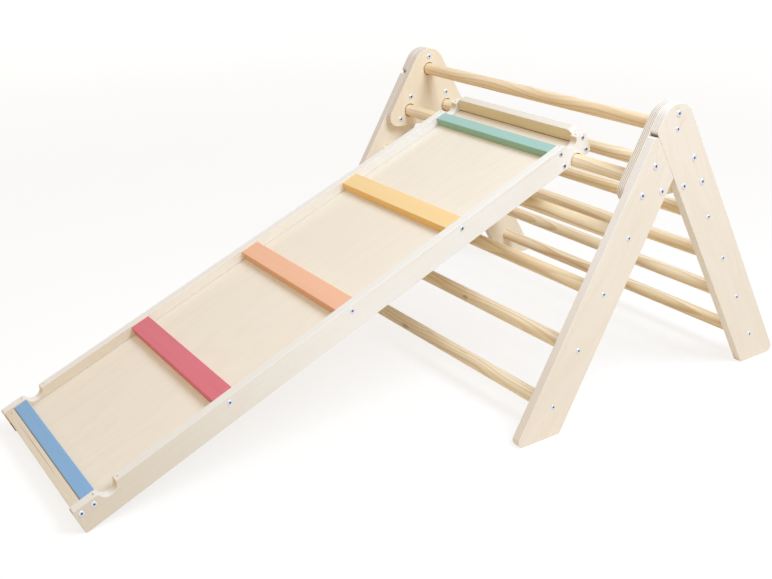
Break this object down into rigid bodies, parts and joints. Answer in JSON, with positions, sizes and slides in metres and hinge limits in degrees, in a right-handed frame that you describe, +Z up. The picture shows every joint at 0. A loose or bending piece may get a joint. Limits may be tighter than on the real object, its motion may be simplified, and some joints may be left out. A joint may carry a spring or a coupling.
{
  "type": "climbing frame with ramp",
  "caption": "Wooden A-shaped climbing frame for small children, with round rungs and a hooked-on slide ramp that has coloured foot battens and notched side rails.",
  "frame": {"origin": "on the floor, under the middle of the whole length from the back feet to the ramp's low end, midway between the two sides", "axes": "+X from the ramp's low end towards the back feet, +Y along the rungs from the right side to the left side, +Z up"},
  "size_m": [1.4817, 0.8152, 0.598],
  "materials": {
    "birch_ply": "sanded and clear lacquered",
    "pine": "turned and clear lacquered",
    "zinc": "zinc plated",
    "paint_green": "satin paint on wood",
    "paint_yellow": "satin paint on wood",
    "paint_orange": "satin paint on wood",
    "paint_red": "satin paint on wood",
    "paint_blue": "satin paint on wood"
  },
  "bodies": {
    "frame": {"head_plate_right": "birch_ply", "head_plate_left": "birch_ply", "long_leg_right": "birch_ply", "long_leg_left": "birch_ply", "short_leg_right": "birch_ply", "short_leg_left": "birch_ply", "rung_top": "pine", "rung_front_1": "pine", "rung_front_2": "pine", "rung_front_3": "pine", "rung_front_4": "pine", "rung_front_5": "pine", "rung_back_1": "pine", "rung_back_2": "pine", "rung_back_3": "pine", "rung_back_4": "pine", "rung_back_5": "pine", "plate_bolts_right": "zinc", "plate_bolts_left": "zinc", "sleeve_nuts_right": "zinc", "sleeve_nuts_left": "zinc", "rung_screws_right": "zinc", "rung_screws_left": "zinc"},
    "ramp": {"rail_right": "birch_ply", "rail_left": "birch_ply", "ramp_panel": "birch_ply", "cleat_green": "paint_green", "cleat_yellow": "paint_yellow", "cleat_orange": "paint_orange", "cleat_red": "paint_red", "cleat_blue": "paint_blue", "end_board": "birch_ply", "end_bar": "pine", "under_batten": "pine", "rail_screws_right": "zinc", "rail_screws_left": "zinc"}
  },
  "joints": [
    {"name": "ramp_tilt", "type": "hinge", "parent": "frame", "child": "ramp", "pos_m": [0.31999, 0, 0.45307], "axis": [0, 1, 0], "range_deg": [0, 23]}
  ]
}
